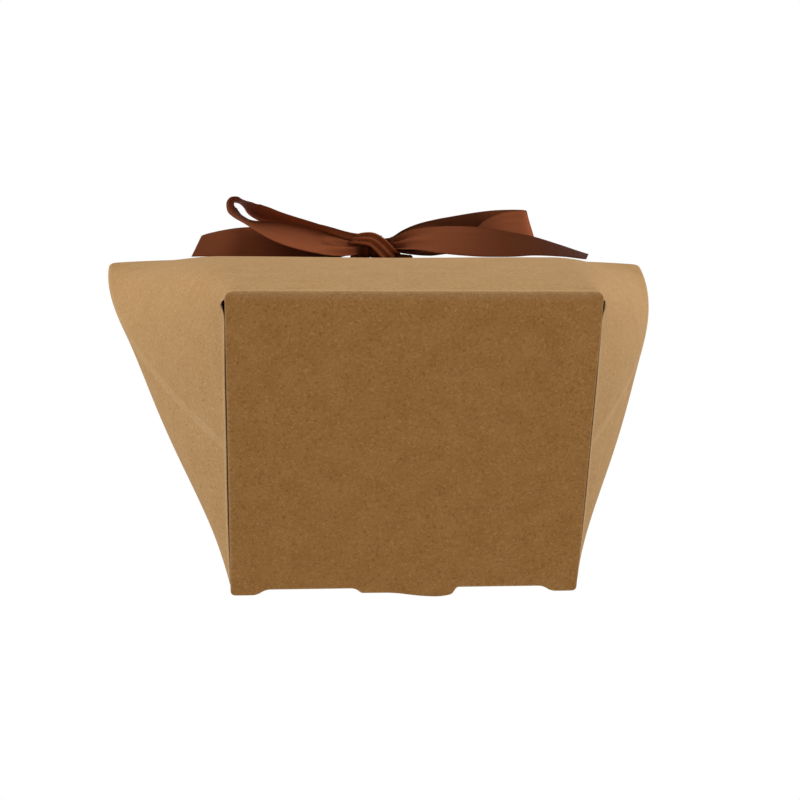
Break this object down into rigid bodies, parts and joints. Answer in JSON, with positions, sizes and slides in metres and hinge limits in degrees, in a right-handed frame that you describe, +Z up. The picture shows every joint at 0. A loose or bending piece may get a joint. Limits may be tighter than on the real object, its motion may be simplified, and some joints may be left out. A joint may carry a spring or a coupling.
{
  "type": "favor box",
  "caption": "Folded kraft board gift box with a rectangular base, walls that close to a flat pinched mouth, an opening base and a satin ribbon bow on the front.",
  "frame": {"origin": "middle of the base panel's underside, where the box stands", "axes": "+Z up towards the mouth, +X to the right along the mouth seen from the front, front wall and bow towards -Y"},
  "size_m": [0.165, 0.0809, 0.1239],
  "materials": {
    "kraft_board": "uncoated kraft board with fine fibres",
    "kraft_base": "uncoated kraft board with fine fibres, folded flaps",
    "satin_ribbon": "brown satin ribbon with woven edges"
  },
  "bodies": {
    "carton": {"front_panel": "kraft_board", "back_panel": "kraft_board", "side_left_front": "kraft_board", "side_left_back": "kraft_board", "side_right_front": "kraft_board", "side_right_back": "kraft_board", "glue_flap": "kraft_board", "ribbon_back_span": "satin_ribbon", "ribbon_strand_left": "satin_ribbon", "ribbon_strand_right": "satin_ribbon", "bow_knot": "satin_ribbon", "bow_loop_left": "satin_ribbon", "bow_loop_right": "satin_ribbon", "bow_tail_left": "satin_ribbon", "bow_tail_right": "satin_ribbon"},
    "base": {"base_panel": "kraft_base"},
    "tuck": {"tuck_flap": "kraft_base"},
    "dust_left": {"dust_flap_left": "kraft_base"},
    "dust_right": {"dust_flap_right": "kraft_base"}
  },
  "joints": [
    {"name": "base_hinge", "type": "hinge", "parent": "carton", "child": "base", "pos_m": [0, -0.03925, 0.00025], "axis": [-1, 0, 0], "range_deg": [0, 150]},
    {"name": "tuck_hinge", "type": "hinge", "parent": "base", "child": "tuck", "pos_m": [0, 0.0383, 0.00066], "axis": [-1, 0, 0], "range_deg": [0, 50]},
    {"name": "dust_left_hinge", "type": "hinge", "parent": "carton", "child": "dust_left", "pos_m": [-0.04275, 0, 0.00085], "axis": [0, 1, 0], "range_deg": [0, 95]},
    {"name": "dust_right_hinge", "type": "hinge", "parent": "carton", "child": "dust_right", "pos_m": [0.04275, 0, 0.00085], "axis": [0, -1, 0], "range_deg": [0, 95]}
  ],
  "couplings": [
    {"joint": "tuck_hinge", "follows": "base_hinge", "ratio": 0.3},
    {"joint": "dust_left_hinge", "follows": "base_hinge", "ratio": 0.6},
    {"joint": "dust_right_hinge", "follows": "base_hinge", "ratio": 0.6}
  ]
}
